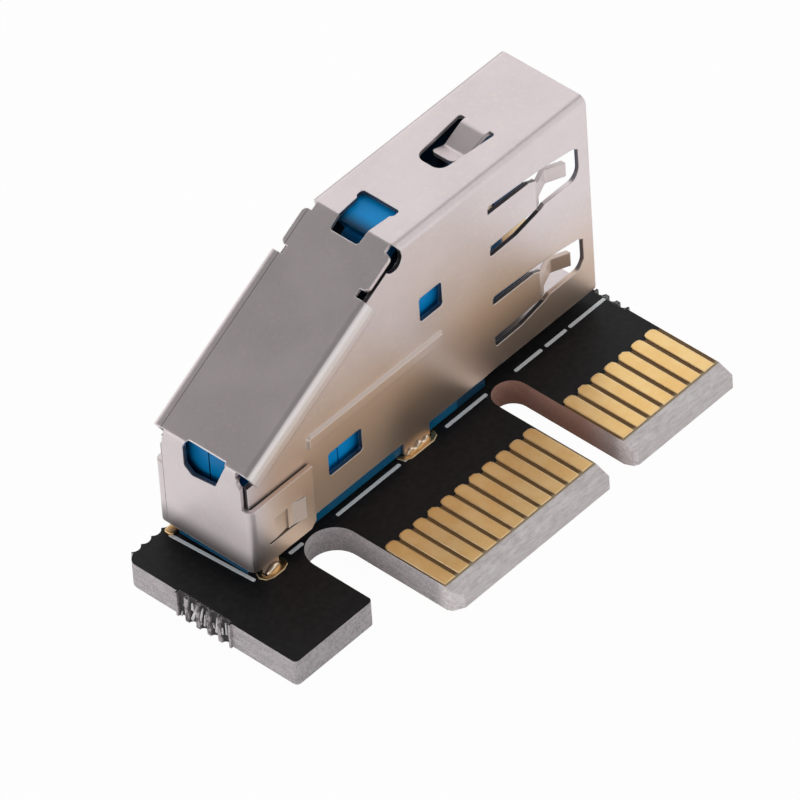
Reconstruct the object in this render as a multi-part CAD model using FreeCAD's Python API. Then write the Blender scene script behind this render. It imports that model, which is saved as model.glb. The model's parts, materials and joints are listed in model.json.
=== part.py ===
import FreeCAD, Part
import math
import os

# Edge card with an upright shielded socket. X runs along the card edge from the middle of the key slot
# towards the socket mouth, Y from the tip edge inwards, Z up from the middle of the board's thickness.

# Board, millimetres
board_thick = 1.57
board_depth = 14.08
board_corner = 0.25
far_corner = 0.6
contact_pitch = 1.0
contact_width = 0.76
contact_length = 4.04
contact_tip_gap = 0.93
contact_thick = 0.05
contact_corner = 0.24
contact_clip = 0.22
long_row = 11
short_row = 7
ground_contacts = (4, 7, 13, 16)
row_offset = 1.5
long_margin = 0.07
short_margin = 0.26
key_width = 2.0
key_depth = 8.25
relief_width = 2.88
relief_depth = 8.24
tab_width = 5.5
tab_setback = 2.95
bevel_run = 0.85
bevel_drop = 0.35
tip_chamfer = 0.45
key_chamfer = 0.2

# Snapped-off panel tabs: strip width, row of half holes
snap_height = 0.15
snap_hole = 0.24
snap_pitch = 0.72
snap_margin = 0.36
left_snap_set = 5.13
left_snaps = 5
right_snap_set = 6.18
right_snaps = 3
back_snap_set = 1.95
back_snaps = 4
back_snap_hole = 0.42
back_snap_lift = 0.26

# Socket shell: one folded sheet
sheet = 0.25
socket_wide = 12.5
socket_deep = 5.12
stand_off = 0.62
back_margin = 0.06
mouth_inset = 0.53
shell_length = 25.24
roof_length = 13.66
rear_fold_height = 6.97
tube_bend = 0.45
fold_bend = 0.1
wall_foot_height = 0.9
floor_length = 8.0
seam_gap = 0.1

# Rear flap of the shell: slope plate with lips, rear wall with side flaps
flap_gap = 0.1
wall_drop = 0.55
neck_inset = 0.46
wing_start = 0.5
wing_end = 2.6
lip_start = 3.05
lip_end_gap = 0.1
lip_depth = 1.2
lip_bend = 0.15
relief_radius = 0.6
relief_drop = 0.78
rear_foot_height = 0.65
side_flap_top = 4.62
side_flap_reach = 4.45
side_flap_corner = 0.35
side_flap_bend = 0.16
rear_plate_inset = 0.2
wall_rear_gap = 0.3
keyhole_radius = 0.42
keyhole_drop = 0.62

# Stampings in the shell walls: port heights above the board, lengths and heights; the low port, the bead's
# rear end and the latch are set from the rear, the others from the mouth
port_corner = 0.12
flat_corner = 0.15
high_port_set = 11.6
high_port = (8.5, 1.62, 1.55)
low_port_set = 7.09
low_port = (3.33, 2.4, 1.5)
bead_rear = 4.49
bead_front = 10.95
bead_height = 5.8
bead_width = 0.85
bead_rise = 0.15
bead_chamfer = 0.13
roof_port_front = 11.65
roof_port_rear = 14.4
roof_port_half = 1.06
roof_port_ear = 0.15
rear_port = ((-0.94, -1.75), (0.62, -1.95), (1.1, -1.55), (1.1, -0.3), (0.9, 0.12), (-1.76, 0.12))
lance_length = 1.15
lance_height = 1.35
lance_rise = 0.18
lance_set = 3.7
lance_mid = 2.55
lance_slit_length = 2.5
dent_length = 0.95
dent_depth = 0.1
lance_slit = 0.14

# Grounding springs in the walls and the latch in the roof
spring_root = 7.3
spring_neck = 3.51
spring_tip = 1.56
spring_low = 3.95
spring_pitch = 6.0
spring_half = 1.65
spring_held = 0.3
spring_bend_set = 3.9
spring_nose_set = 2.6
spring_dip = 0.55
back_spring_dip = 0.4
spring_tip_dip = 0.1
spring_window = (
    (4.0, 1.45), (2.8, 1.3), (1.1, 1.02), (0.74, 0.8), (0.74, -1.05, 0.65),
    (3.3, -1.05), (3.6, -1.2), (5.4, -1.6),
)
spring_blade = (
    (4.3, 1.08), (3.76, 0.85), (spring_neck, 0.42), (spring_tip, 0.42), (spring_tip, -0.45),
    (spring_neck, -0.45), (spring_neck, -0.9),
)
blade_root_top = 1.15
blade_root_low = 1.0
latch_root = 4.7
latch_end = 8.34
latch_half = 1.17
latch_end_half = 0.82
latch_held = 0.29
latch_bend_set = 5.03
latch_nose_set = 6.41
latch_tip = 7.36
latch_root_half = 0.8
latch_tip_half = 0.66
latch_corner = 0.25
latch_dip = 0.55
latch_tip_dip = 0.2

# Shell legs: the middle pair set from the mouth, the rear pair from the rear
mid_leg_set = 13.2
mid_leg_width = 1.85
rear_leg_set = 1.29
rear_leg_width = 1.0
back_leg_step = 0.45
leg_clearance = 0.12
leg_out = 0.15
leg_taper = 0.15

# Insulator, tail guide and contacts of the socket
fit_gap = 0.05
body_gap = 0.3
rear_recess = 0.3
cavity_depth = 10.5
tongue_tip = 1.4
tongue_wide = 11.1
tongue_thick = 1.84
tongue_gap = 2.56
tongue_chamfer = 0.35
crown_half = 1.45
shoulder_drop = 2.2
shoulder_ahead = 1.5
hollow_drop = 2.0
hollow_start = 0.15
hollow_end = 1.6
mould_seam = 0.08
mould_seam_depth = 0.12
guide_gap = 0.15
guide_inset = 0.15
guide_rear_inset = 1.0
toe_set = 0.19
toe_front_inset = 0.35
toe_back_inset = 0.8
guide_front = 8.1
guide_rib = 0.9
guide_rib_inset = 1.1
inner_beam_offset = 1.0
outer_beam_offset = 3.5
flat_pitch = 2.0
flat_count = 5
terminal_thick = 0.25
beam_width = 1.0
pad_width = 0.7
pad_length = 1.9
pad_set = 1.75
flat_depth = 0.92
beam_rise = 0.85
beam_tip_set = 4.0
beam_top_set = 5.4
diagonal_set = 12.2
last_tail_set = 2.84
tail_pitch = 1.8
tail_width = 0.4

# Plated holes and solder
land_thick = 0.05
land_ring = 0.28
pin_hole = 0.38
pin_sides = 10
slot_steps = 4
pin_ring = 0.2
solder_rise = 0.35
solder_chamfer = 0.2
solder_recess = 0.25

# Levels and places worked out from the sizes above
V = FreeCAD.Vector
touching = 1e-6
board_top = board_thick / 2
board_bottom = -board_top
long_left = -(row_offset + (long_row - 1) * contact_pitch + contact_width / 2 + long_margin)
board_right = row_offset + (short_row - 1) * contact_pitch + contact_width / 2 + short_margin
tab_right = long_left - relief_width
tab_left = tab_right - tab_width

mouth = board_right - mouth_inset
rear = mouth - shell_length
roof_fold = mouth - roof_length
back = board_depth - back_margin
front = back - socket_deep - 2 * sheet
middle = (front + back) / 2
shell_floor = board_top + stand_off
roof = shell_floor + socket_wide + 2 * sheet
socket_middle = (shell_floor + roof) / 2
rear_fold = board_top + rear_fold_height
wall_foot = board_top + wall_foot_height
slope_angle = math.atan2(roof - rear_fold, roof_fold - rear)
slope_length = math.hypot(roof - rear_fold, roof_fold - rear)
outer_half = (back - front) / 2
lip_half = outer_half + flap_gap + sheet
neck_half = outer_half - neck_inset
flap_front = middle - lip_half
tongue_front = front + sheet + tongue_gap
guide_top = wall_foot - fit_gap
leg_tip = board_bottom - leg_out


def planes(plane, low):
    """Mapping from an outline's two coordinates to space, and the plane's normal."""
    if plane == "xy":
        return lambda p: V(p.x, p.y, low), V(0, 0, 1)
    if plane == "xz":
        return lambda p: V(p.x, low, p.y), V(0, 1, 0)
    return lambda p: V(low, p.x, p.y), V(1, 0, 0)


def prism(plane, corners, low, high):
    """Solid from an outline of (u, v) or (u, v, radius) corners; a small radius becomes a flat corner."""
    place, normal = planes(plane, low)
    total = len(corners)
    spots = [V(corner[0], corner[1], 0) for corner in corners]
    arcs = []
    for i, corner in enumerate(corners):
        radius = corner[2] if len(corner) > 2 else 0
        to_before = (spots[i - 1] - spots[i]).normalize()
        to_after = (spots[(i + 1) % total] - spots[i]).normalize()
        half = to_before.getAngle(to_after) / 2
        setback = radius / math.tan(half)
        inwards = V(0, 0, 0)
        if radius:
            inwards = (to_before + to_after).normalize() * (radius / math.sin(half) - radius)
        ends = spots[i] + to_before * setback, spots[i] + to_after * setback
        arcs.append((ends[0], spots[i] + inwards, ends[1], radius))
    edges = []
    for i, (start, bulge, end, radius) in enumerate(arcs):
        if radius > flat_corner:
            edges.append(Part.Arc(place(start), place(bulge), place(end)).toShape())
        elif radius:
            edges.append(Part.LineSegment(place(start), place(end)).toShape())
        following = arcs[(i + 1) % total][0]
        if (following - end).Length > touching:
            edges.append(Part.LineSegment(place(end), place(following)).toShape())
    return Part.Face(Part.Wire(edges)).extrude(normal * (high - low))


def ribbon(path, left, right, bend):
    """Outline of a bent strip: a path widened between two offsets, with inner bend radii or sharp bends."""
    sides = ([], [])
    spots = [V(u, v, 0) for u, v in path]
    steps = [(after - before).normalize() for before, after in zip(spots, spots[1:])]
    for i, spot in enumerate(spots):
        arriving = steps[max(i - 1, 0)]
        leaving = steps[min(i, len(steps) - 1)]
        normals = V(-arriving.y, arriving.x, 0), V(-leaving.y, leaving.x, 0)
        mitre = (normals[0] + normals[1]) * (1 / (1 + normals[0].dot(normals[1])))
        turn = arriving.cross(leaving).z
        inner, outer = (bend, bend + left - right) if turn and bend else (0, 0)
        radii = (inner, outer) if turn > 0 else (outer, inner)
        for side, offset, radius in zip(sides, (left, right), radii):
            corner = spot + mitre * offset
            side.append((corner.x, corner.y, radius))
    return sides[0] + sides[1][::-1]


def rectangle(low_u, low_v, high_u, high_v, radius=0):
    spots = (low_u, low_v), (high_u, low_v), (high_u, high_v), (low_u, high_v)
    return [(u, v, radius) for u, v in spots]


def slab(low, high):
    return Part.makeBox(*(high[i] - low[i] for i in range(3)), V(*low))


def obround(x, y, half_long, half_wide, low, high):
    """Upright solid longer along X, with ends rounded in a few steps."""
    corners = []
    for end in (0, 1):
        middle_x = x + (1 - 2 * end) * (half_long - half_wide)
        for step in range(slot_steps + 1):
            turn = math.pi * (step / slot_steps - 0.5 + end)
            corners.append((middle_x + half_wide * math.cos(turn), y + half_wide * math.sin(turn)))
    return prism("xy", corners, low, high)


def far_side(shape):
    """The same feature on the other side of the shell."""
    return shape.mirror(V(0, middle, 0), V(0, 1, 0))


def both_sides(shape):
    return [shape, far_side(shape)]


def on_slope(shape):
    """Moves a shape drawn flat, with X down the slope from the roof fold and Z = 0 on top, to its place."""
    placed = shape.copy()
    placed.rotate(V(0, 0, 0), V(0, 0, 1), 180)
    placed.rotate(V(0, 0, 0), V(0, 1, 0), -math.degrees(slope_angle))
    placed.translate(V(roof_fold, middle, roof))
    return placed


def fuse(shapes):
    return shapes[0].multiFuse(shapes[1:]).removeSplitter()


def contact_centres():
    """X of every edge contact by its number, on both sides of the key slot."""
    long_side = [-row_offset - (long_row - n) * contact_pitch for n in range(1, long_row + 1)]
    short_side = [row_offset + n * contact_pitch for n in range(short_row)]
    return long_side + short_side


def leg_places():
    """Middle X, width and middle Y of each shell leg where it passes the board."""
    places = []
    pairs = (mouth - mid_leg_set, mid_leg_width, front), (rear + rear_leg_set, rear_leg_width, flap_front)
    for x, width, near in pairs:
        for y in (near + sheet / 2, back - sheet / 2 - back_leg_step):
            places.append((x, width, y))
    return places


def flat_plane():
    return tongue_front + flat_depth


def tail_places():
    """Height, tail X and near Y of each socket contact, lowest contact nearest the mouth."""
    springs = []
    first = rear + last_tail_set + (flat_count - 1) * tail_pitch
    offsets = (-outer_beam_offset, -inner_beam_offset, inner_beam_offset, outer_beam_offset)
    for i, offset in enumerate(offsets):
        x = first - (i + 0.5) * tail_pitch
        springs.append((socket_middle + offset, x, tongue_front + fit_gap))
    flats = []
    for i in range(flat_count):
        offset = (i - (flat_count - 1) / 2) * flat_pitch
        x = first - i * tail_pitch
        flats.append((socket_middle + offset, x, flat_plane()))
    return springs, flats


def pin_centres():
    springs, flats = tail_places()
    return [(x, y + terminal_thick / 2) for _, x, y in springs + flats]


def snap_row(x, y, outwards, along, count, hole, lift=0):
    """Strip left on an edge by a snapped-off panel tab, and the row of holes that bites into it."""
    half = (count - 1) * snap_pitch / 2 + snap_margin
    low = V(x, y, board_bottom) - along * half - outwards * board_corner
    reach = along * (2 * half) + outwards * (snap_height + board_corner)
    corners = [low, low + V(reach.x, reach.y, board_thick)]
    low, high = ([pick(p[i] for p in corners) for i in range(3)] for pick in (min, max))
    strip = slab(low, high)
    holes = []
    for n in range(count):
        shift = outwards * (snap_height + lift) + along * ((n - (count - 1) / 2) * snap_pitch)
        holes.append(Part.makeCylinder(hole, board_thick, V(x, y, board_bottom) + shift))
    return strip, holes


def circuit_board():
    outline = [
        (tab_left, tab_setback, board_corner),
        (tab_right, tab_setback, board_corner),
        (tab_right, relief_depth, relief_width / 2),
        (long_left, relief_depth, relief_width / 2),
        (long_left, tip_chamfer),
        (long_left + tip_chamfer, 0),
        (-key_width / 2 - key_chamfer, 0),
        (-key_width / 2, key_chamfer),
        (-key_width / 2, key_depth, key_width / 2),
        (key_width / 2, key_depth, key_width / 2),
        (key_width / 2, key_chamfer),
        (key_width / 2 + key_chamfer, 0),
        (board_right - tip_chamfer, 0),
        (board_right, tip_chamfer),
        (board_right, board_depth, board_corner),
        (tab_left, board_depth, far_corner),
    ]
    board = prism("xy", outline, board_bottom, board_top)
    strips = []
    cuts = []
    along_x = V(1, 0, 0)
    along_y = V(0, 1, 0)
    back_x = tab_left + back_snap_set
    rows = (
        snap_row(tab_left, board_depth - left_snap_set, -along_x, along_y, left_snaps, snap_hole),
        snap_row(board_right, board_depth - right_snap_set, along_x, along_y, right_snaps, snap_hole),
        snap_row(back_x, board_depth, along_y, along_x, back_snaps, back_snap_hole, back_snap_lift),
    )
    for strip, holes in rows:
        strips.append(strip)
        cuts += holes
    bevel = [(bevel_run, board_top), (-bevel_run, board_top - 2 * bevel_drop), (-bevel_run, board_top)]
    top_bevel = prism("yz", bevel, long_left, board_right)
    cuts += [top_bevel, top_bevel.mirror(V(0, 0, 0), V(0, 0, 1))]
    for x, width, y in leg_places():
        cuts.append(leg_slot(x, width, y, land_thick, board_bottom, board_top))
    for x, y in pin_centres():
        cuts.append(round_hole(x, y, land_thick, board_bottom, board_top))
    return fuse([board] + strips).cut(cuts).removeSplitter()


def edge_contacts(level):
    """One face's row of gold contacts, lying on the board from a level upwards."""
    inner = contact_tip_gap + contact_length
    half = contact_width / 2
    round_step = contact_corner * (1 - math.sqrt(0.5))
    contacts = []
    for number, x in enumerate(contact_centres(), 1):
        cut = contact_clip if number in ground_contacts else contact_corner
        side = [(half, inner - cut), (half - cut, inner)]
        if number not in ground_contacts:
            side.insert(1, (half - round_step, inner - round_step))
        end = [(x + u, v) for u, v in side] + [(x - u, v) for u, v in reversed(side)]
        corners = [(x - half, contact_tip_gap), (x + half, contact_tip_gap)] + end
        contacts.append(prism("xy", corners, level, level + contact_thick))
    return Part.makeCompound(contacts)


def rear_path(inset):
    """Side view of the roof, slope and rear wall, moved inwards by an inset: three corner points."""
    shift = inset * math.tan(slope_angle / 2)
    drop = inset * math.tan((math.pi / 2 - slope_angle) / 2)
    return (roof_fold + shift, roof - inset), (rear + inset, rear_fold - drop)


def walls(foot, foot_bend, inner_foot, start, end):
    """Stretch of the shell's roof and side walls, closed below where the inner foot is above the foot."""
    low = [(front, foot, foot_bend), (back, foot, foot_bend)]
    outer = low + [(back, roof, tube_bend), (front, roof, tube_bend)]
    inner_bend = max(foot_bend - sheet, 0)
    near = front + sheet
    far = back - sheet
    ceiling = roof - sheet
    inner = [
        (near, inner_foot, inner_bend),
        (far, inner_foot, inner_bend),
        (far, ceiling, tube_bend - sheet),
        (near, ceiling, tube_bend - sheet),
    ]
    return prism("yz", outer, start, end).cut(prism("yz", inner, start, end))


def keyholes():
    """Round holes that end the slits between the rear wall and the side walls."""
    place = V(rear - sheet, front, rear_fold - keyhole_drop)
    return both_sides(Part.makeCylinder(keyhole_radius, 4 * sheet, place, V(1, 0, 0)))


def wall_tube():
    """Roof, side walls and floor of the socket, cut off below the slope plate."""
    open_end = mouth - floor_length
    closed = walls(shell_floor, tube_bend, shell_floor + sheet, open_end, mouth)
    opened = walls(wall_foot, 0, wall_foot - sheet, rear + wall_rear_gap, open_end)
    seam_low = (open_end, middle - seam_gap / 2, board_top)
    seam = slab(seam_low, (mouth, middle + seam_gap / 2, shell_floor + 2 * sheet))
    above = slab((0, -2 * outer_half, -wall_drop), (2 * slope_length, 2 * outer_half, roof))
    relief_place = V(roof_fold - relief_radius / 2, front, roof - relief_drop)
    relief = Part.makeCylinder(relief_radius, tube_bend, relief_place, V(0, 1, 0))
    return fuse([closed, opened]).cut([seam, on_slope(above)] + both_sides(relief) + keyholes())


def rear_flap():
    """Slope plate and rear wall folded down from the roof, with lips and side flaps over the walls."""
    high, low = rear_path(0)
    start = (roof_fold + roof_port_rear - roof_length, roof)
    path = [start, high, low, (rear, board_top + rear_foot_height)]
    spine = prism("xz", ribbon(path, sheet, 0, fold_bend), middle - neck_half, middle + neck_half)
    wing = rectangle(wing_start, -outer_half, wing_end, outer_half, relief_radius / 2)
    wings = on_slope(prism("xy", wing, -sheet, 0))
    cover_end = slope_length - lip_end_gap
    hood = [(-lip_half, -lip_depth), (-lip_half, 0), (lip_half, 0), (lip_half, -lip_depth)]
    lips = on_slope(prism("yz", ribbon(hood, 0, -sheet, lip_bend), lip_start, cover_end))
    reach = rear + side_flap_reach
    wrap = [(reach, middle + lip_half), (rear, middle + lip_half), (rear, flap_front), (reach, flap_front)]
    wrap_low = board_top + rear_foot_height
    wrap_top = board_top + side_flap_top
    flaps = prism("xy", ribbon(wrap, sheet, 0, side_flap_bend), wrap_low, wrap_top)
    plate_half = outer_half - rear_plate_inset
    plate_top = rear_fold - fold_bend - sheet
    plate = slab((rear, middle - plate_half, wrap_low), (rear + sheet, middle + plate_half, plate_top))
    foot = [
        (reach - side_flap_corner, wrap_low),
        (reach, wrap_low),
        (reach, wrap_low + side_flap_corner),
    ]
    foot_trim = prism("xz", foot, flap_front - sheet, middle + lip_half + sheet)
    rear_wall = fuse([spine, plate]).cut(keyholes())
    return fuse([rear_wall, wings, lips, flaps]).cut(foot_trim)


def ports():
    """Windows cut through the walls, the roof fold and the rear fold."""
    cuts = []
    for x, (height, length, tall) in ((mouth - high_port_set, high_port), (rear + low_port_set, low_port)):
        z = board_top + height
        corners = rectangle(x - length / 2, z - tall / 2, x + length / 2, z + tall / 2, port_corner)
        cuts.append(prism("xz", corners, front - sheet, back + sheet))
    front_x = mouth - roof_port_front
    rear_x = mouth - roof_port_rear
    ear = roof_port_half + roof_port_ear
    narrow = roof_port_half - roof_port_ear
    outline = [
        (front_x, middle - ear, port_corner),
        (front_x, middle + ear, port_corner),
        (front_x - 3 * roof_port_ear, middle + ear, port_corner),
        (front_x - 4 * roof_port_ear, middle + roof_port_half),
        (rear_x, middle + narrow, port_corner),
        (rear_x, middle - narrow, port_corner),
        (front_x - 4 * roof_port_ear, middle - roof_port_half),
        (front_x - 3 * roof_port_ear, middle - ear, port_corner),
    ]
    cuts.append(prism("xy", outline, roof - 4 * sheet, roof + sheet))
    outline = [(middle + u, rear_fold + v, port_corner) for u, v in rear_port]
    cuts.append(prism("yz", outline, rear - sheet, rear + 3 * sheet))
    return cuts


def wall_spring(height, dip):
    """Window for a grounding spring in the front wall, and the spring that dips into the socket."""
    root = mouth - spring_root
    z = board_top + height
    half = spring_half
    window = [(root, z + half, port_corner)]
    window += [(mouth - set_back, z + rise, *radius) for set_back, rise, *radius in spring_window]
    window.append((root, z - half, port_corner))
    held = root - spring_held
    blade = [(held, z + blade_root_top)]
    blade += [(mouth - set_back, z + rise) for set_back, rise in spring_blade]
    blade.append((held, z - blade_root_low))
    tip = mouth - spring_tip
    bent = [
        (held, front),
        (mouth - spring_bend_set, front),
        (mouth - spring_nose_set, front + dip),
        (tip, front + spring_tip_dip),
    ]
    strip = prism("xy", ribbon(bent, sheet, 0, sheet), z - half, z + half)
    shape = strip.common(prism("xz", blade, front, middle))
    return prism("xz", window, front - sheet, front + 2 * sheet), shape


def roof_latch():
    """U-shaped cut in the roof and the latch tongue that dips into the socket."""
    root = mouth - latch_root
    end = mouth - latch_end
    tip = mouth - latch_tip
    window = [
        (root, middle - latch_half, port_corner),
        (root, middle + latch_half, port_corner),
        (end, middle + latch_end_half, latch_half / 2),
        (end, middle - latch_end_half, latch_half / 2),
    ]
    held = root + latch_held
    blade = [
        (held, middle - latch_root_half),
        (held, middle + latch_root_half),
        (tip, middle + latch_tip_half, latch_corner),
        (tip, middle - latch_tip_half, latch_corner),
    ]
    bent = [
        (held, roof),
        (mouth - latch_bend_set, roof),
        (mouth - latch_nose_set, roof - latch_dip),
        (tip, roof - latch_tip_dip),
    ]
    strip = prism("xz", ribbon(bent, sheet, 0, sheet), middle - latch_half, middle + latch_half)
    shape = strip.common(prism("xy", blade, roof - 2 * latch_dip, roof))
    return prism("xy", window, roof - 2 * sheet, roof + sheet), shape


def bead():
    """Stiffening bead pressed outwards in the front wall: the rise outside and the hollow behind it."""
    low_x = rear + bead_rear
    high_x = mouth - bead_front
    z = board_top + bead_height
    half = bead_width / 2
    outline = rectangle(low_x, z - half, high_x, z + half, half / 2)
    rise = prism("xz", outline, front - bead_rise, front + sheet / 2)
    rim = [edge for edge in rise.Edges if abs(edge.CenterOfMass.y - front + bead_rise) < touching]
    rise = rise.makeChamfer(bead_chamfer, rim)
    hollow_half = half - bead_rise
    hollow = rectangle(low_x + bead_rise, z - hollow_half, high_x - bead_rise, z + hollow_half, half / 2)
    return rise, prism("xz", hollow, front + sheet - bead_rise, front + 2 * sheet)


def lance():
    """Latch pressed out of the side flap: the ramp that rises towards the mouth, then its dent and slit."""
    x = rear + lance_set
    z = board_top + lance_mid
    low = z - lance_height / 2
    high = low + lance_height
    foot = x - lance_length
    inside = flap_front + sheet - dent_depth / 2
    ramp = [(foot, inside), (foot, flap_front + dent_depth / 2), (x, flap_front - lance_rise), (x, inside)]
    dent = [(foot - dent_length, flap_front), (foot, flap_front), (foot, flap_front + dent_depth)]
    slit_low = (x - lance_slit_length, flap_front - sheet, low - lance_slit)
    slit = slab(slit_low, (x, flap_front + sheet, low))
    return prism("xy", ramp, low, high), [prism("xy", dent, low, high), slit]


def shell_leg(x, width, y):
    """Leg from a wall's lower edge through the board, stepping in where the board ends close behind."""
    wall = y if y < middle else back - sheet / 2
    hang = wall_foot + sheet
    step_top = wall_foot - sheet
    step_low = board_top + sheet
    path = [(wall, hang), (wall, step_top), (y, step_low), (y, leg_tip)]
    if abs(wall - y) < touching:
        path = [path[0], path[3]]
    strip = prism("yz", ribbon(path, sheet / 2, -sheet / 2, sheet / 4), x - width / 2, x + width / 2)
    half = width / 2
    face = [
        (x - half, hang),
        (x - half, board_bottom),
        (x - half + leg_taper, leg_tip),
        (x + half - leg_taper, leg_tip),
        (x + half, board_bottom),
        (x + half, hang),
    ]
    return strip.common(prism("xz", face, front - sheet, back + sheet))


def receptacle_shell():
    rises = []
    cuts = ports()
    springs = []
    for n in range(2):
        height = spring_low + n * spring_pitch
        window, near_spring = wall_spring(height, spring_dip)
        far_spring = wall_spring(height, back_spring_dip)[1]
        cuts += both_sides(window)
        springs += [near_spring, far_side(far_spring)]
    window, latch = roof_latch()
    cuts.append(window)
    springs.append(latch)
    rise, hollow = bead()
    rises += both_sides(rise)
    cuts += both_sides(hollow)
    ramp, recesses = lance()
    rises += both_sides(ramp)
    for recess in recesses:
        cuts += both_sides(recess)
    legs = [shell_leg(*place) for place in leg_places()]
    body = fuse([wall_tube(), rear_flap()] + rises).cut(cuts)
    return fuse([body] + springs + legs)


def strip_outline(height, x, front_x, width):
    """Side view of a socket contact: back along the tongue, down beside the slope, straight to the board."""
    turn = mouth - diagonal_set
    elbow = height - (turn - x) * math.tan(slope_angle)
    path = [(front_x, height), (turn, height), (x, elbow), (x, board_bottom - leg_out)]
    return ribbon(path, width / 2, -width / 2, 0)


def spring_terminal(height, x, y):
    """Contact with a sprung beam that stands off the tongue."""
    block = mouth - cavity_depth
    plate = prism("xz", strip_outline(height, x, block, tail_width), y, y + terminal_thick)
    tip = mouth - beam_tip_set
    top = mouth - beam_top_set
    path = [(block - beam_width, y), (block + beam_width, y), (top, y - beam_rise), (tip, y)]
    outline = ribbon(path, terminal_thick, 0, terminal_thick)
    beam = prism("xy", outline, height - beam_width / 2, height + beam_width / 2)
    return fuse([plate, beam])


def flat_terminal(height, x, y):
    """Contact with a flat pad near the tongue's tip, flush with its face."""
    pad_tip = mouth - pad_set
    pad_rear = pad_tip - pad_length
    deep = pad_rear - flat_depth
    plate = prism("xz", strip_outline(height, x, deep, tail_width), y, y + terminal_thick)
    path = [(deep - pad_width, y), (deep, y), (pad_rear, tongue_front), (pad_tip, tongue_front)]
    outline = ribbon(path, terminal_thick, 0, terminal_thick / 2)
    pad = prism("xy", outline, height - pad_width / 2, height + pad_width / 2)
    return fuse([plate, pad])


def terminals():
    springs, flats = tail_places()
    spring_names = ("ground_terminal", "data_plus_terminal", "data_minus_terminal", "power_terminal")
    flat_names = (
        "receive_minus_terminal",
        "receive_plus_terminal",
        "drain_terminal",
        "transmit_minus_terminal",
        "transmit_plus_terminal",
    )
    nodes = {name: spring_terminal(*place) for name, place in zip(spring_names, springs)}
    nodes.update({name: flat_terminal(*place) for name, place in zip(flat_names, flats)})
    return nodes


def insulator_body(contacts):
    """Moulded block behind the cavity, shaped to the slope, with the tongue that carries the contacts."""
    inset = sheet + 2 * fit_gap
    high, low = rear_path(inset)
    block = mouth - cavity_depth
    rear_face = low[0] + rear_recess
    rear_top = low[1] + rear_recess * math.tan(slope_angle)
    side = [(block, guide_top), (block, high[1]), high, (rear_face, rear_top), (rear_face, guide_top)]
    side_y = front + sheet + body_gap
    body = prism("xz", side, side_y, 2 * middle - side_y)
    tongue_back = tongue_front + tongue_thick
    tip = mouth - tongue_tip
    plan = [
        (block - sheet, tongue_front),
        (tip - tongue_chamfer, tongue_front),
        (tip, tongue_front + tongue_chamfer),
        (tip, tongue_back - tongue_chamfer),
        (tip - tongue_chamfer, tongue_back),
        (block - sheet, tongue_back),
    ]
    tongue = prism("xy", plan, socket_middle - tongue_wide / 2, socket_middle + tongue_wide / 2)
    grooves = []
    for height, _, y in tail_places()[0]:
        half = beam_width / 2 + fit_gap
        low_corner = (block, tongue_front - fit_gap, height - half)
        high_corner = (mouth - beam_tip_set + fit_gap, y + terminal_thick + fit_gap, height + half)
        grooves.append(slab(low_corner, high_corner))
    wide = 2 * outer_half
    shoulders = slab((-shoulder_ahead, -wide, -shoulder_drop), (2 * slope_length, wide, 0))
    crown = slab((-shoulder_ahead, -crown_half, -shoulder_drop), (2 * slope_length, crown_half, 0))
    hollow = slab((hollow_start, -crown_half, -hollow_drop), (slope_length - hollow_end, crown_half, 0))
    trims = [on_slope(shoulders.cut(crown)), on_slope(hollow)]
    seam_half = mould_seam / 2
    seam_low = (rear_face, middle - seam_half, guide_top)
    trims.append(slab(seam_low, (rear_face + mould_seam_depth, middle + seam_half, rear_fold)))
    port_x = rear + low_port_set
    seam_low = (port_x - seam_half, side_y, guide_top)
    trims += both_sides(slab(seam_low, (port_x + seam_half, side_y + mould_seam_depth, rear_fold)))
    return fuse([body, tongue]).cut(grooves + trims + contacts)


def tail_guide(contacts):
    """Moulded base under the open part of the shell, which spaces the contact tails."""
    low_x = rear + sheet + 2 * fit_gap
    high_x = mouth - guide_front
    low_y = front + guide_inset
    high_y = back - guide_inset
    low_z = board_top + guide_gap
    step_x = rear + side_flap_reach
    base = slab((step_x, low_y, low_z), (high_x, high_y, guide_top))
    tail = slab((low_x, low_y + guide_rear_inset, low_z), (step_x, high_y - guide_rear_inset, guide_top))
    toe_low = (rear + toe_set, front + toe_front_inset, low_z)
    toe = slab(toe_low, (low_x + sheet, back - toe_back_inset, board_top + rear_foot_height - fit_gap))
    ribs = [tail, toe]
    for x in (high_x - guide_rib_inset, low_x + guide_rib / 2):
        low = (x - guide_rib / 2, middle - guide_rib, board_top)
        ribs.append(slab(low, (x + guide_rib / 2, middle + guide_rib, guide_top)))
    notches = []
    for x, width, y in leg_places():
        half = width / 2 + fit_gap
        inner = sheet / 2 + fit_gap
        ends = (front - sheet, y + inner) if y < middle else (y - inner, back + sheet)
        notches.append(slab((x - half, ends[0], board_top), (x + half, ends[1], guide_top)))
    return fuse([base] + ribs).cut(notches + contacts)


def leg_slot(x, width, y, extra, low, high):
    half_long = width / 2 + leg_clearance + extra
    return obround(x, y, half_long, sheet / 2 + leg_clearance + extra, low, high)


def plated(hole, ring):
    """Barrel lining of a plated hole with its rings on both faces of the board."""
    low = board_bottom - land_thick
    high = board_top + land_thick
    lining = hole(land_thick, low, high)
    rings = [hole(ring, low, board_bottom), hole(ring, board_top, high)]
    return fuse([lining] + rings).cut(hole(0, low, high))


def leg_lands():
    lands = []
    for place in leg_places():
        lands.append(plated(lambda extra, low, high, p=place: leg_slot(*p, extra, low, high), land_ring))
    return Part.makeCompound(lands)


def round_hole(x, y, extra, low, high):
    """Upright hole of a contact tail, drawn with few sides."""
    radius = pin_hole + extra
    turns = [2 * math.pi * n / pin_sides for n in range(pin_sides)]
    return prism("xy", [(x + radius * math.cos(t), y + radius * math.sin(t)) for t in turns], low, high)


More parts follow.
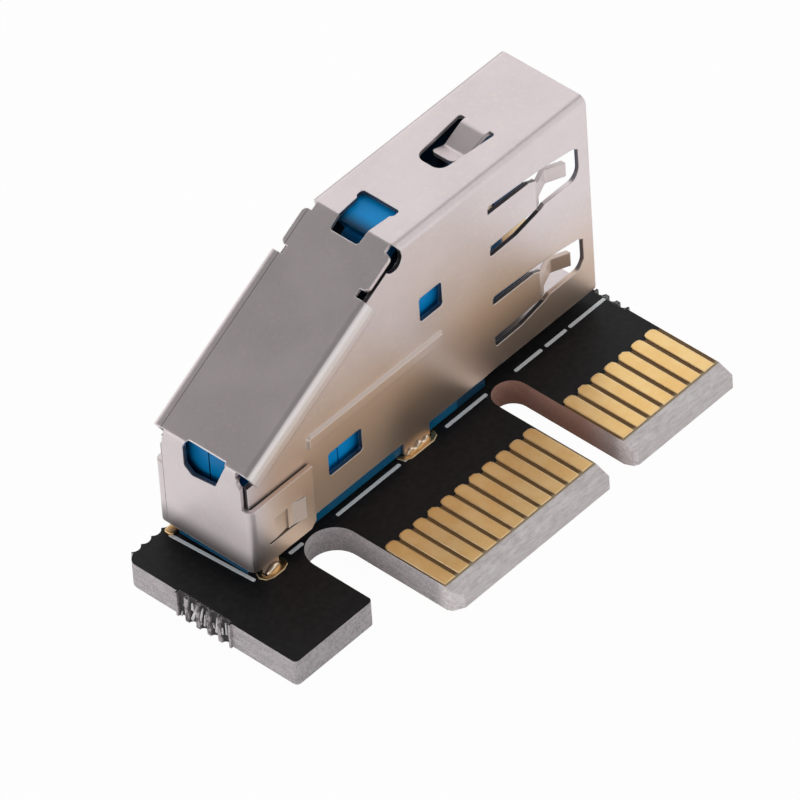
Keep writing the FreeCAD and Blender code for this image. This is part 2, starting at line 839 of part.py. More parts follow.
def pin_lands():
    lands = []
    for place in pin_centres():
        lands.append(plated(lambda extra, low, high, p=place: round_hole(*p, extra, low, high), pin_ring))
    return Part.makeCompound(lands)


def solder_joint(hole, ring):
    """Solder in a plated hole, with a low crown on the underside."""
    low = board_bottom - land_thick
    fill = hole(0, low, board_top - solder_recess)
    crown = hole(ring, low - solder_rise, low)
    lowest = [edge for edge in crown.Edges if abs(edge.CenterOfMass.z - low + solder_rise) < touching]
    crown = crown.makeChamfer(solder_chamfer, lowest)
    return fuse([fill, crown])


def leg_solder(shell):
    joints = []
    for place in leg_places():
        joint = solder_joint(lambda extra, low, high, p=place: leg_slot(*p, extra, low, high), land_ring / 2)
        joints.append(joint.cut(shell))
    return Part.makeCompound(joints)


def pin_solder(contacts):
    joints = []
    for place in pin_centres():
        joint = solder_joint(lambda extra, low, high, p=place: round_hole(*p, extra, low, high), pin_ring / 2)
        joints.append(joint.cut(contacts))
    return Part.makeCompound(joints)


def main():
    os.makedirs("parts", exist_ok=True)
    contact_nodes = terminals()
    contacts = list(contact_nodes.values())
    shell = receptacle_shell()
    nodes = {
        "circuit_board": circuit_board(),
        "front_edge_contacts": edge_contacts(board_top),
        "back_edge_contacts": edge_contacts(board_bottom - contact_thick),
        "receptacle_shell": shell,
        "insulator_body": insulator_body(contacts),
        "tail_guide": tail_guide(contacts),
        "leg_lands": leg_lands(),
        "pin_lands": pin_lands(),
        "leg_solder": leg_solder(shell),
        "pin_solder": pin_solder(contacts),
    }
    nodes.update(contact_nodes)
    for name, shape in nodes.items():
        print(name, "solids", len(shape.Solids), "valid", shape.isValid(), "volume", round(shape.Volume, 3))
        shape.exportStep(f"parts/{name}.step")


main()
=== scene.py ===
import json
import math
import random

import bmesh
import bpy
from mathutils import Matrix, Vector


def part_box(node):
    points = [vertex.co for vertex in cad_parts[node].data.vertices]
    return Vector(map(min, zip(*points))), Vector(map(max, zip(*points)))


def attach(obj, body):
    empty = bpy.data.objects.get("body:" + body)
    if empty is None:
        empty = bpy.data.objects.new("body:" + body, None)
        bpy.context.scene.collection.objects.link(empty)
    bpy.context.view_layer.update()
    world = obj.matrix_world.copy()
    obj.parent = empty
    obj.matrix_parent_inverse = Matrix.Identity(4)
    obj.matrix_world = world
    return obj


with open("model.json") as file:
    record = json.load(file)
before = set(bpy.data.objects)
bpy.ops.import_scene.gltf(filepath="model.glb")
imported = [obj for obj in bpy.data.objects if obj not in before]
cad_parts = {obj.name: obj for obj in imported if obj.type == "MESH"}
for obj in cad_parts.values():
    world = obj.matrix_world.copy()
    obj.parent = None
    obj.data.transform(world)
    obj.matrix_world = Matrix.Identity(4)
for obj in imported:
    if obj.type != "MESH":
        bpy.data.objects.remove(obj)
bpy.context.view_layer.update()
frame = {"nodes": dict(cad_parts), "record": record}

# Edge card with an upright shielded socket: finishes, small pieces, light and camera.
# Lengths in this script are millimetres. The frame and Blender's objects are in metres.
MM = 0.001

# Camera, solved from the contact pitch and the board's edges
AIM = Vector((-6.924, 8.039, 5.130))
HEADING = math.radians(-45.07)
HEIGHT = math.radians(43.90)
ROLL = math.radians(-4.06)
DISTANCE = 559.5
NEAREST = 10.0
LENS = 520.25
SENSOR = 36.0

# Lamps: heading and height in degrees, distance, width and height of the panel, watts
SOFTBOXES = {
    "back_softbox": (135, 45, 550, (500, 500), 0.68),
    "left_softbox": (-108, 16, 500, (900, 420), 1.15),
    "front_softbox": (45, 45, 500, (350, 350), 0.32),
}
FLOOR_HALF = 3000
FLOOR_GREY = (0.9, 0.9, 0.9)
FLOOR_GLOW = 0.97
WHITE = (1.0, 1.0, 1.0)

# Grey of the room by the height of the view, from the horizon to the ceiling
ROOM_GREYS = ((0.0, 1.0), (0.27, 1.0), (0.48, 0.22), (0.62, 0.19), (1.0, 0.12))

# Board, and the lowest point of the part
BOARD_LOW, BOARD_HIGH = [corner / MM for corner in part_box("circuit_board")]
BOARD_TOP = BOARD_HIGH.z
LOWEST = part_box("pin_solder")[0].z / MM

# Snapped edges of the board: X and Y of the middle, half length along Y, outwards along X
SNAPS = ((BOARD_LOW.x, 8.95, 1.7, -1), (BOARD_HIGH.x, 7.90, 1.0, 1))

# Shell: inside of the socket, thickness of the sheet, and the faces that follow from them
SHELL_LOW, SHELL_HIGH = [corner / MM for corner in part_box("receptacle_shell")]
INSIDE_WIDE = 5.12
INSIDE_HIGH = 12.5
SHEET = 0.25
REAR = SHELL_LOW.x
ROOF = SHELL_HIGH.z
MIDDLE = (SHELL_LOW.y + SHELL_HIGH.y) / 2
FRONT_WALL = MIDDLE - INSIDE_WIDE / 2 - SHEET
FAR_INSIDE = MIDDLE + INSIDE_WIDE / 2
FLOOR_INSIDE = ROOF - SHEET - INSIDE_HIGH

# Y in front of which only the flaps over the near wall stand, and the fold at the top of the rear wall
FLAP = 8.2
REAR_FOLD = 7.755
SLOPE = 0.574

# Margin that tells a face from what lies just in front of it or behind it
MARGIN = 0.02
GUIDE_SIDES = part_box("tail_guide")[1].z / MM - MARGIN / 2

# Part of a noise's range that is spread over a whole mix
SPREAD = (0.3, 0.7)


class Value:
    """A shader socket that takes part in Python expressions."""

    def __init__(self, nodes, socket):
        self.nodes = nodes
        self.socket = socket

    def beside(self, label):
        """Another output of the same node."""
        return Value(self.nodes, self.socket.node.outputs[label])

    def maths(self, operation, *others):
        return self.nodes.add("ShaderNodeMath", dict(enumerate((self,) + others)), operation=operation)

    def __add__(self, other):
        return self.maths("ADD", other)

    __radd__ = __add__

    def __sub__(self, other):
        return self.maths("SUBTRACT", other)

    def __rsub__(self, other):
        return self.maths("MULTIPLY_ADD", -1.0, other)

    def __mul__(self, other):
        return self.maths("MULTIPLY", other)

    __rmul__ = __mul__

    def __abs__(self):
        return self.maths("ABSOLUTE")

    def over(self, edge):
        return self.maths("GREATER_THAN", edge)

    def under(self, edge):
        return self.maths("LESS_THAN", edge)

    def inside(self, low, high):
        return self.over(low) * self.under(high)

    def at(self, level):
        """1 on a face that lies at a level."""
        return self.inside(level - MARGIN, level + MARGIN)

    def ramp(self, low, high):
        """0 below one value and 1 above another, smooth between."""
        inputs = {0: self, 1: low, 2: high}
        return self.nodes.add("ShaderNodeMapRange", inputs, interpolation_type="SMOOTHSTEP", clamp=True)

    def fade(self, low, high):
        """1 below one value and 0 above another, smooth between."""
        return 1 - self.ramp(low, high)


class Nodes:
    """A node tree, emptied, whose nodes are all added by one method."""

    def __init__(self, owner):
        owner.use_nodes = True
        self.tree = owner.node_tree
        self.tree.nodes.clear()

    def put(self, socket, value):
        if isinstance(value, Value):
            self.tree.links.new(value.socket, socket)
        elif socket.type == "RGBA":
            socket.default_value = (*value, 1.0)
        else:
            socket.default_value = value

    def add(self, kind, inputs=None, output=0, greys=None, **settings):
        """Adds a node: its settings and a ramp's greys first, then the values or links of its sockets."""
        node = self.tree.nodes.new(kind)
        for label, value in settings.items():
            setattr(node, label, value)
        if greys:
            stops = node.color_ramp.elements
            while len(stops) < len(greys):
                stops.new(1.0)
            for stop, (place, grey) in zip(stops, greys):
                stop.position = place
                stop.color = (grey, grey, grey, 1.0)
        for label, value in (inputs or {}).items():
            self.put(node.inputs[label], value)
        return Value(self, node.outputs[output]) if node.outputs else None


class Paint(Nodes):
    """One finish of the part: a Principled shader and the nodes that feed it."""

    def __init__(self, name, **constants):
        self.material = bpy.data.materials.new(name)
        super().__init__(self.material)
        shader = self.add("ShaderNodeBsdfPrincipled")
        self.shader = shader.socket.node
        self.add("ShaderNodeOutputMaterial", {0: shader})
        metres = self.add("ShaderNodeTexCoord", output="Object")
        self.place = self.add("ShaderNodeVectorMath", {0: metres, "Scale": 1 / MM}, operation="SCALE")
        for label, value in constants.items():
            self.set(label.replace("_", " "), value)

    def set(self, label, value):
        self.put(self.shader.inputs[label], value)

    def axes(self):
        """X, Y and Z of the place."""
        x = self.add("ShaderNodeSeparateXYZ", {0: self.place}, output="X")
        return x, x.beside("Y"), x.beside("Z")

    def noise(self, size, stretch=(1, 1, 1), detail=3.0):
        """Noise from 0 to 1 with spots of about a size, stretched along axes."""
        scale = [1 / (size * n) for n in stretch]
        mapped = self.add("ShaderNodeMapping", {"Vector": self.place, "Scale": scale})
        inputs = {"Vector": mapped, "Scale": 1.0, "Detail": detail, "Roughness": 0.55}
        return self.add("ShaderNodeTexNoise", inputs)

    def mix(self, share, one, other):
        inputs = {0: share, 6: one, 7: other}
        return self.add("ShaderNodeMix", inputs, output=2, data_type="RGBA", clamp_factor=True)

    def bump(self, height, depth, normal=None):
        inputs = {"Height": height, "Distance": depth * MM, "Strength": 1.0}
        if normal:
            inputs["Normal"] = normal
        self.set("Normal", self.add("ShaderNodeBump", inputs))

    def crevices(self, reach):
        """0 on open faces and 1 deep in narrow gaps, from how much of the surroundings is near."""
        inputs = {"Distance": reach * MM}
        return 1 - self.add("ShaderNodeAmbientOcclusion", inputs, output="AO", samples=8)

    def soft_edges(self, radius):
        """Normals rounded over sharp edges, and a mask of where they are rounded."""
        rounded = self.add("ShaderNodeBevel", {"Radius": radius * MM}, samples=6)
        flat = self.add("ShaderNodeNewGeometry", output="Normal")
        both = {0: rounded, 1: flat}
        along = self.add("ShaderNodeVectorMath", both, output="Value", operation="DOT_PRODUCT")
        return rounded, (1 - along).ramp(0.01, 0.2)


# Colours of the shell, and of the painted highlight, painted reflection, painted light and painted shade
# laid into it
STEEL = ((0.72, 0.645, 0.655), (0.77, 0.69, 0.70))
STEEL_SPECKLE = (0.84, 0.73, 0.69)
STEEL_WORN_EDGE_HIGHLIGHT = (0.93, 0.90, 0.89)
STEEL_LIP_LIGHT = (0.95, 0.89, 0.875)
STEEL_WARM_REFLECTION = (0.77, 0.59, 0.465)
STEEL_DULL_REFLECTION = (0.72, 0.48, 0.30)
STEEL_LOW_SHADE = (0.50, 0.37, 0.29)
STEEL_LANCE_SHADE = (0.50, 0.42, 0.37)
STEEL_BEAD_SHADE = (0.58, 0.47, 0.40)
STEEL_INSIDE_SHADE = (0.16, 0.14, 0.14)
STEEL_FOOT_SHADE = (0.13, 0.11, 0.11)
STEEL_RIM_SHADE = (0.05, 0.05, 0.06)
STEEL_CREVICE_SHADE = (0.07, 0.06, 0.06)

# Near wall: where its springs begin and how deep they reach, then where its painted reflection and
# painted shade rise or fade
SPRINGS_FROM = 1.0
SPRINGS_DEEP = 0.9
WARM_FADE_Z = (3.0, 9.0)
WARM_RISE_X = (REAR, REAR + 2.5)
DULL_FADE_X = (-9.0, -6.0)
LOW_FADE_Z = (1.5, 5.0)
LOW_RISE_X = (-11.5, -6.0)
MOUTH_FADE_Z = (4.0, 7.5)
MOUTH_RISE_X = (-9.0, -5.0)

# Inside of the shell: the part of its floor that painted shade darkens
DARK_FLOOR_Y = (8.7, 13.7)
DARK_FLOOR_FADE_X = (3.4, 4.2)

# Rear wall, its side flap and the lips of the slope: where their painted shade and painted light begin or
# fade
BEHIND_FADE_X = (REAR + 0.05, REAR + 0.2)
FOOT_FADE_Z = (1.5, 3.0)
FLAP_FOOT_FADE_X = (REAR + 0.2, REAR + 2.2)
FLAP_FOOT_FADE_Z = (1.4, 3.4)
LIPS_FROM_Z = 6.6
LIPS_FADE_DROP = (0.75, 1.0)

# Lanced latch of the flap, and the pressed bead of the near wall, both toned down with painted shade
LANCE_Y = FLAP - 0.155
LANCE_TOP = 4.5
BEAD_PROUD = (0.015, 0.14)
BEAD_X = (-13.3, -3.2)
BEAD_Z = (6.0, 7.2)

# Cut rims darkened with painted shade. Near wall: X and Z around the upper port, the lower port and the
# open corner
NEAR_RIMS = (
    ((-5.0, -3.0), (8.0, 11.0)),
    ((-12.0, -9.0), (3.0, 5.2)),
    ((REAR + 0.2, REAR + 0.7), (5.5, 7.6)),
)
ROOF_RIM_X = (-6.0, -3.9)
ROOF_RIM_HALF = 1.3
REAR_RIM_Z = (5.7, 7.4)
REAR_RIM_HALF = 2.0
SLITS_X = (0.2, 3.9)
SLITS_FROM_Z = 2.0
RELIEF_X = (-8.6, -4.6)
RELIEF_FROM_Z = 11.5
RELIEF_DROP = 0.2
RIM_FACING = 0.3


def near_wall_tones(paint, body, clouds):
    """Painted reflection that tints the near wall warm and duller to the rear, and painted shade low down
    and at the mouth.
    """
    x, y, z = paint.axes()
    springs = x.over(SPRINGS_FROM) * (y - FRONT_WALL).inside(MARGIN, SPRINGS_DEEP)
    wall = y.under(FRONT_WALL + MARGIN) + springs
    warm = wall * z.fade(*WARM_FADE_Z) * x.ramp(*WARM_RISE_X)
    dull_reflection = warm * x.fade(*DULL_FADE_X)
    low = wall * z.fade(*LOW_FADE_Z) * (0.05 + 0.3 * x.ramp(*LOW_RISE_X))
    mouth = wall * x.ramp(*MOUTH_RISE_X) * z.fade(*MOUTH_FADE_Z) * 0.3
    # Painted reflection: a warm tint on the near wall, strongest low down
    body = paint.mix(warm * (0.55 + clouds * 0.5), body, STEEL_WARM_REFLECTION)
    # Painted reflection, duller toward the rear
    body = paint.mix(dull_reflection * 0.6, body, STEEL_DULL_REFLECTION)
    # Painted shade low down near the board and at the mouth
    return paint.mix(low + mouth, body, STEEL_LOW_SHADE), dull_reflection


def inside_tones(paint, body):
    """Painted shade on the inner face of the far wall and on the floor up to the springs."""
    x, y, z = paint.axes()
    floor = z.at(FLOOR_INSIDE) * y.inside(*DARK_FLOOR_Y) * x.fade(*DARK_FLOOR_FADE_X)
    return paint.mix((y.at(FAR_INSIDE) + floor) * 0.8, body, STEEL_INSIDE_SHADE)


def rear_tones(paint, body, below_fold):
    """Painted shade at the feet of the rear wall and its side flap, and painted light on the lips along
    the slope.
    """
    x, y, z = paint.axes()
    behind = x.fade(*BEHIND_FADE_X)
    foot_shade = behind * z.fade(*FOOT_FADE_Z)
    flap_foot_shade = y.under(FLAP) * z.fade(*FLAP_FOOT_FADE_Z) * x.fade(*FLAP_FOOT_FADE_X)
    lips = y.under(FLAP) * z.over(LIPS_FROM_Z) * below_fold.fade(*LIPS_FADE_DROP)
    # Painted shade at the feet of the rear wall and its side flap
    body = paint.mix(foot_shade * 0.95 + flap_foot_shade * 0.8, body, STEEL_FOOT_SHADE)
    # Painted light that pales the lips along the slope
    return paint.mix(lips * 0.9, body, STEEL_LIP_LIGHT), behind, lips


def cut_rim_shade(paint, below_fold):
    """Mask of the cut rims of ports, slits and reliefs, inside the sheet's thickness, that painted shade
    darkens.
    """
    x, y, z = paint.axes()
    thickness = (MARGIN, SHEET - MARGIN)
    near = (y - FRONT_WALL).inside(*thickness)
    across = abs(y - MIDDLE)
    roof = (ROOF - z).inside(*thickness) * x.inside(*ROOF_RIM_X) * across.under(ROOF_RIM_HALF)
    rims = roof + (x - REAR).inside(*thickness) * z.inside(*REAR_RIM_Z) * across.under(REAR_RIM_HALF)
    for rim_x, rim_z in NEAR_RIMS:
        rims = rims + near * x.inside(*rim_x) * z.inside(*rim_z)
    normal = paint.add("ShaderNodeNewGeometry", output="True Normal")
    cut = near * abs(paint.add("ShaderNodeSeparateXYZ", {0: normal}, output="Y")).under(RIM_FACING)
    slits = x.inside(*SLITS_X) * z.over(SLITS_FROM_Z)
    relief = x.inside(*RELIEF_X) * z.over(RELIEF_FROM_Z) * below_fold.over(RELIEF_DROP)
    return rims + cut * (slits + relief)


def shell_steel():
    """Satin nickel-plated sheet with a fine grain and worn edges, with painted highlight, reflection,
    light and shade laid into its colour.
    """
    paint = Paint("satin_nickel_sheet")
    x, y, z = paint.axes()
    rounded, edges = paint.soft_edges(0.07)
    clouds = paint.noise(3.0, detail=4.0)
    grain = paint.noise(0.05, stretch=(9, 9, 1), detail=2.0)
    speckle = paint.noise(0.22, detail=2.0)
    below_fold = REAR_FOLD + SLOPE * (x - REAR) - z
    lance_shade = y.under(LANCE_Y) * z.under(LANCE_TOP)
    bead = (FRONT_WALL - y).inside(*BEAD_PROUD) * x.inside(*BEAD_X) * z.inside(*BEAD_Z)
    body = paint.mix(clouds.ramp(*SPREAD), *STEEL)
    body = paint.mix(speckle.ramp(0.5, 0.75) * 0.55, body, STEEL_SPECKLE)
    body, dull_reflection = near_wall_tones(paint, body, clouds)
    body = inside_tones(paint, body)
    body, behind, lips = rear_tones(paint, body, below_fold)
    # Painted shade that tones down the lit face of the lanced latch
    body = paint.mix(lance_shade * 0.7, body, STEEL_LANCE_SHADE)
    # Worn plating and a painted highlight lighten the rounded edges
    body = paint.mix(edges * 0.8, body, STEEL_WORN_EDGE_HIGHLIGHT)
    # Painted shade that tones down the lit face of the pressed bead
    body = paint.mix(bead * 0.7, body, STEEL_BEAD_SHADE)
    # Painted shade on the cut rims of ports, slits and reliefs
    body = paint.mix(cut_rim_shade(paint, below_fold) * 0.85, body, STEEL_RIM_SHADE)
    # Painted shade in narrow gaps, from the occlusion mask
    body = paint.mix(paint.crevices(0.4).ramp(0.3, 0.85) * 0.75, body, STEEL_CREVICE_SHADE)
    paint.set("Base Color", body)
    paint.set("Metallic", 0.86 - behind * 0.64 - lips * 0.4 - dull_reflection * 0.4)
    paint.set("Roughness", 0.33 + clouds * 0.06 + grain * 0.06)
    paint.bump(grain, 0.0012, rounded)
    return paint.material


# Blue mouldings: colours, then where the shaded parts begin, end or fade
BLUE = ((0.002, 0.36, 0.90), (0.003, 0.40, 0.96))
BLUE_EDGE_HIGHLIGHT = (0.08, 0.40, 0.74)
BLUE_GUIDE_SHADE = (0.004, 0.11, 0.23)
BLUE_SHADE = (0.001, 0.007, 0.017)
LEDGE_FROM_X = -8.0
LEDGE_FADE_X = (-6.1, -5.0)
LEDGE_FROM_Z = 10.5
ROOF_PORT_END = -3.5
TONGUE_TOP_Z = (13.1, 13.4)
TONGUE_SIDE_X = (-2.5, 6.0)
SHOULDERS_HALF = 1.5
SHOULDERS_FROM_Z = 11.0
REAR_SHOULDERS_HALF = 1.95
REAR_SHOULDERS_TO_X = -16.0
REAR_SHOULDERS_FROM_Z = 5.8
REAR_END_FADE_X = (-16.8, -16.4)


def blue_shade(paint):
    """Mask of the parts of the moulding that lie deep in the ports or turn away at their sides."""
    x, y, z = paint.axes()
    across = abs(y - MIDDLE)
    ledge = x.fade(*LEDGE_FADE_X) * x.over(LEDGE_FROM_X) * z.over(LEDGE_FROM_Z)
    tongue_top = z.ramp(*TONGUE_TOP_Z) * x.over(ROOF_PORT_END)
    tongue_side = y.under(MIDDLE + MARGIN) * x.inside(*TONGUE_SIDE_X) * 0.7
    shoulders = across.over(SHOULDERS_HALF) * z.over(SHOULDERS_FROM_Z) * x.under(ROOF_PORT_END)
    rear_shoulders = across.over(REAR_SHOULDERS_HALF) * x.under(REAR_SHOULDERS_TO_X)
    rear_shoulders = rear_shoulders * z.over(REAR_SHOULDERS_FROM_Z)
    rear_end = x.fade(*REAR_END_FADE_X) * 0.5
    deep = paint.crevices(1.2).ramp(0.5, 1.0) * 0.5
    shade = ledge + tongue_top + tongue_side + shoulders + rear_shoulders + rear_end + deep
    return shade.maths("MINIMUM", 1.0)


def moulded_blue():
    """Blue moulded plastic with a faint flow pattern, a painted highlight on its edges, and painted shade
    on the guide and in the ports.
    """
    paint = Paint("moulded_blue_plastic", Specular_IOR_Level=0.16)
    height = paint.axes()[2]
    rounded, edges = paint.soft_edges(0.06)
    flow = paint.noise(1.6)
    body = paint.mix(flow.ramp(*SPREAD), *BLUE)
    # Painted shade on the low guide under the walls
    body = paint.mix(height.under(GUIDE_SIDES), body, BLUE_GUIDE_SHADE)
    body = paint.mix(blue_shade(paint) * 0.97, body, BLUE_SHADE)
    # Painted highlight on the rounded edges
    paint.set("Base Color", paint.mix(edges * 0.35, body, BLUE_EDGE_HIGHLIGHT))
    paint.set("Roughness", 0.3 + flow * 0.12)
    paint.bump(paint.noise(0.12), 0.004, rounded)
    return paint.material


# Board: colours of its faces and of its cut edges
MASK = ((0.010, 0.010, 0.011), (0.016, 0.016, 0.017))
BARE = ((0.18, 0.10, 0.035), (0.25, 0.14, 0.055))
BARE_TIP_LIT = (0.50, 0.40, 0.27)
CUT = ((0.38, 0.35, 0.365), (0.66, 0.61, 0.625))
GROUND_PALE_AND_LIT = ((0.77, 0.70, 0.70), (0.95, 0.89, 0.89))
GROUND_STREAK = (1.0, 0.97, 0.96)
GROUND_SCRATCH = (0.58, 0.51, 0.51)
GROUND_END_SHADE = (0.55, 0.51, 0.51)
KEY_SLOT_BROWN = (0.40, 0.185, 0.12)
TORN_HOLLOW_SHADE = (0.11, 0.10, 0.10)
TORN_HOLE_SHADE = (0.075, 0.07, 0.07)
TORN_FACE = (0.26, 0.25, 0.25)

# Board: depth of the mask, its opening around the contacts, ground tips and brown walls of the key slot
MASK_DEEP = 0.006
OPENING_FROM_X = -11.95
OPENING_TO_Y = 4.7
BARE_TIP_Y = (0.9, 1.15)
GROUND_FADE_Y = (0.8, 1.6)
KEY_REACH_X = 1.3
KEY_REACH_Y = 9.5
KEY_SLOT_BROWN_RISE_Y = (0.2, 4.0)

# Board: depth of a snapped edge, of its broken rim beyond which painted shade darkens the holes, and of
# the frayed mask beside it
SNAP_DEEP = 0.35
SNAP_RIM = (0.02, 0.14)
SNAP_FRAY = (0.2, 0.32)


def ground_tips(paint, plies, fuzz):
    """Pale laminate of the ground tips, streaked along the edge, lightened further by painted light on
    the upward bevel and with painted shade on the upright end face.
    """
    y = paint.axes()[1]
    streaks = paint.noise(0.16, stretch=(4, 1, 1))
    # Pale ground laminate, lightened further by painted light on the upward bevel
    ground = paint.mix((plies * 0.6 + fuzz * 0.4).ramp(*SPREAD), *GROUND_PALE_AND_LIT)
    ground = paint.mix(streaks.ramp(0.5, 0.66) * 0.6, ground, GROUND_STREAK)
    ground = paint.mix(streaks.fade(0.34, 0.5) * 0.35, ground, GROUND_SCRATCH)
    # Painted shade on the upright end face of the tips
    return paint.mix(y.under(MARGIN) * 0.3, ground, GROUND_END_SHADE)


def board_mask():
    """Black solder mask on glass fibre, bare laminate around the contacts and pale cut edges, with
    painted light on the tips and painted shade in the snapped holes.
    """
    paint = Paint("black_mask_board", Specular_IOR_Level=0.16)
    x, y, z = paint.axes()
    skin = abs(z).over(BOARD_TOP - MASK_DEEP)
    cloth = paint.noise(0.35, detail=2.0)
    plies = paint.noise(0.22, stretch=(5, 5, 1))
    fuzz = paint.noise(0.10, detail=4.0)
    torn = paint.noise(0.3, stretch=(1, 1, 1.6))
    mask = paint.mix(cloth.ramp(0.3, 0.75), *MASK)
    # Pale bare laminate at the tip, lightened by painted light where the finger edges shade it
    bare = paint.mix(y.ramp(*BARE_TIP_Y), BARE_TIP_LIT, paint.mix(cloth, *BARE))
    face = paint.mix(y.under(OPENING_TO_Y) * x.over(OPENING_FROM_X), mask, bare)
    cut = paint.mix((plies * 0.35 + fuzz * 0.65).ramp(*SPREAD), *CUT)
    cut = paint.mix(y.fade(*GROUND_FADE_Y), cut, ground_tips(paint, plies, fuzz))
    # Brownish tint on the walls of the key slot, growing away from the tip
    key_slot_brown = abs(x).under(KEY_REACH_X) * y.under(KEY_REACH_Y) * y.ramp(*KEY_SLOT_BROWN_RISE_Y)
    cut = paint.mix(key_slot_brown * 0.8, cut, KEY_SLOT_BROWN)
    for snap_x, snap_y, half, outwards in SNAPS:
        depth = (snap_x - x) * outwards
        near = abs(y - snap_y).under(half) * depth.under(SNAP_DEEP)
        frayed = near * depth.fade(*SNAP_FRAY) * fuzz.ramp(0.4, 0.55)
        # Painted shade in the hollows between the torn ribs
        cut = paint.mix(near * torn.ramp(0.44, 0.56) * 0.85, cut, TORN_HOLLOW_SHADE)
        # Painted shade deep in the snapped holes
        cut = paint.mix(near * depth.ramp(*SNAP_RIM), cut, TORN_HOLE_SHADE)
        face = paint.mix(frayed, face, TORN_FACE)
    paint.set("Base Color", paint.mix(skin, cut, face))
    paint.set("Roughness", 0.62 - skin * 0.24 + cloth * 0.06)
    paint.bump((fuzz + plies) * (1 - skin) * 4.0 + cloth, 0.008)
    return paint.material


# Gold plating: warm and pale colour of each piece, and the painted highlight of the rims
CONTACT_GOLD = ((0.81, 0.52, 0.205), (0.87, 0.615, 0.285))
TERMINAL_GOLD = ((0.80, 0.62, 0.36), (0.88, 0.72, 0.45))
LAND_GOLD = ((0.72, 0.44, 0.19), (0.84, 0.58, 0.30))
FILLET_GILT = ((0.86, 0.67, 0.48), (0.96, 0.84, 0.68))
GOLD_RIM_HIGHLIGHT = (1.0, 0.86, 0.60)


def gold_plating(name, colours, rim=0.05):
    """Gold plating with fine wear along Y, and rounded rims paled with a painted highlight."""
    paint = Paint(name, Metallic=1.0)
    rounded, edges = paint.soft_edges(rim)
    clouds = paint.noise(1.2, detail=4.0)
    wear = paint.noise(0.03, stretch=(1, 30, 1), detail=1.0)
    body = paint.mix(clouds.ramp(*SPREAD), *colours)
    # Painted highlight on the rounded rims
    paint.set("Base Color", paint.mix(edges * 0.7, body, GOLD_RIM_HIGHLIGHT))
    paint.set("Roughness", 0.24 + wear * 0.05 + clouds * 0.06)
    paint.bump(wear, 0.0005, rounded)
    return paint.material


# Solder, printed ink and torn glass cloth: dark and pale colour of each
SOLDER = ((0.52, 0.51, 0.50), (0.74, 0.73, 0.71))
INK = ((0.80, 0.84, 0.88), (0.94, 0.98, 1.0))
GLASS = ((0.50, 0.48, 0.48), (0.88, 0.86, 0.86))


def tin_solder():
    """Frosted solder with a grain of small crystals."""
    paint = Paint("tin_solder", Metallic=1.0)
    clouds = paint.noise(0.5, detail=4.0)
    paint.set("Base Color", paint.mix(clouds, *SOLDER))
    paint.set("Roughness", 0.28 + clouds * 0.2)
    paint.bump(paint.noise(0.15, detail=4.0), 0.01)
    return paint.material


def marking_ink():
    """Off-white printed ink, thin in places over the mask."""
    paint = Paint("marking_ink")
    wear = paint.noise(0.12, detail=4.0)
    paint.set("Base Color", paint.mix(wear.ramp(0.25, 0.6), *INK))
    paint.set("Roughness", 0.55 + wear * 0.1)
    return paint.material


def glass_cloth():
    """Pale torn glass fibre."""
    paint = Paint("torn_glass_cloth", Roughness=0.7)
    fuzz = paint.noise(0.08, stretch=(1, 1, 4))
    paint.set("Base Color", paint.mix(fuzz.ramp(*SPREAD), *GLASS))
    return paint.material


def dress(slots):
    """Gives every carried-over solid the finish of its slot."""
    for row in frame["record"]["subparts"]:
        node = frame["nodes"][row["node"]]
        node.data.materials.clear()
        node.data.materials.append(slots[row["material_slot"]])


def linked(name, mesh, material):
    """Turns a bmesh in millimetres into an object in metres, at the origin."""
    bmesh.ops.scale(mesh, vec=(MM, MM, MM), verts=mesh.verts)
    data = bpy.data.meshes.new(name)
    mesh.to_mesh(data)
    mesh.free()
    data.materials.append(material)
    made = bpy.data.objects.new(name, data)
    bpy.context.scene.collection.objects.link(made)
    return made


def piece(name, mesh, material):
    """Adds a closed mesh to the part, riding on its one body."""
    bmesh.ops.recalc_face_normals(mesh, faces=mesh.faces)
    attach(linked(name, mesh, material), "root")


def uprights(mesh):
    """Edges whose ends differ in height."""
    return [e for e in mesh.edges if abs(e.verts[0].co.z - e.verts[1].co.z) > MARGIN / 2]


def round_edges(mesh, edges, radius, segments):
    bmesh.ops.bevel(
        mesh, geom=edges, offset=radius, offset_type="OFFSET", segments=segments, profile=0.5,
        affect="EDGES", material=-1,
    )


# Printed outline of the socket: stretches of the front line along X, then the rear line
INK_WIDTH = 0.2
INK_THICK = 0.02
INK_ROUND = 0.06
FRONT_LINE_Y = 8.2
FRONT_LINE = (
    (-15.04, -14.09), (-11.65, -7.08), (-6.8, -6.6), (-3.74, -0.74),
    (1.33, 3.31), (3.59, 5.12), (5.35, 7.99),
)
REAR_LINE = ((-17.46, 8.25), (-17.76, 13.62))


def ink_outline(material):
    """Printed bars with soft ends that lie on the board around the socket."""
    mesh = bmesh.new()
    lines = [((start, FRONT_LINE_Y), (end, FRONT_LINE_Y)) for start, end in FRONT_LINE] + [REAR_LINE]
    for start, end in lines:
        run = Vector(end) - Vector(start)
        middle = (Vector(start) + Vector(end)) / 2
        turn = Matrix.Rotation(math.atan2(run.y, run.x), 4, "Z")
        size = Matrix.Diagonal((run.length, INK_WIDTH, INK_THICK, 1))
        place = Matrix.Translation((*middle, BOARD_TOP + INK_THICK / 2))
        bmesh.ops.create_cube(mesh, size=1.0, matrix=place @ turn @ size)
    round_edges(mesh, uprights(mesh), INK_ROUND, segments=3)
    piece("socket_outline_ink", mesh, material)


# Slivers of glass cloth: number per millimetre, share of the edge that they take, and their sizes
FIBRES_PER_MM = 4
FIBRES_SHARE = 0.95
FIBRE_THICK = 0.06
FIBRE_WIDTH = (0.06, 0.2)
FIBRE_HEIGHT = (0.3, 1.1)
FIBRE_SEED = 11

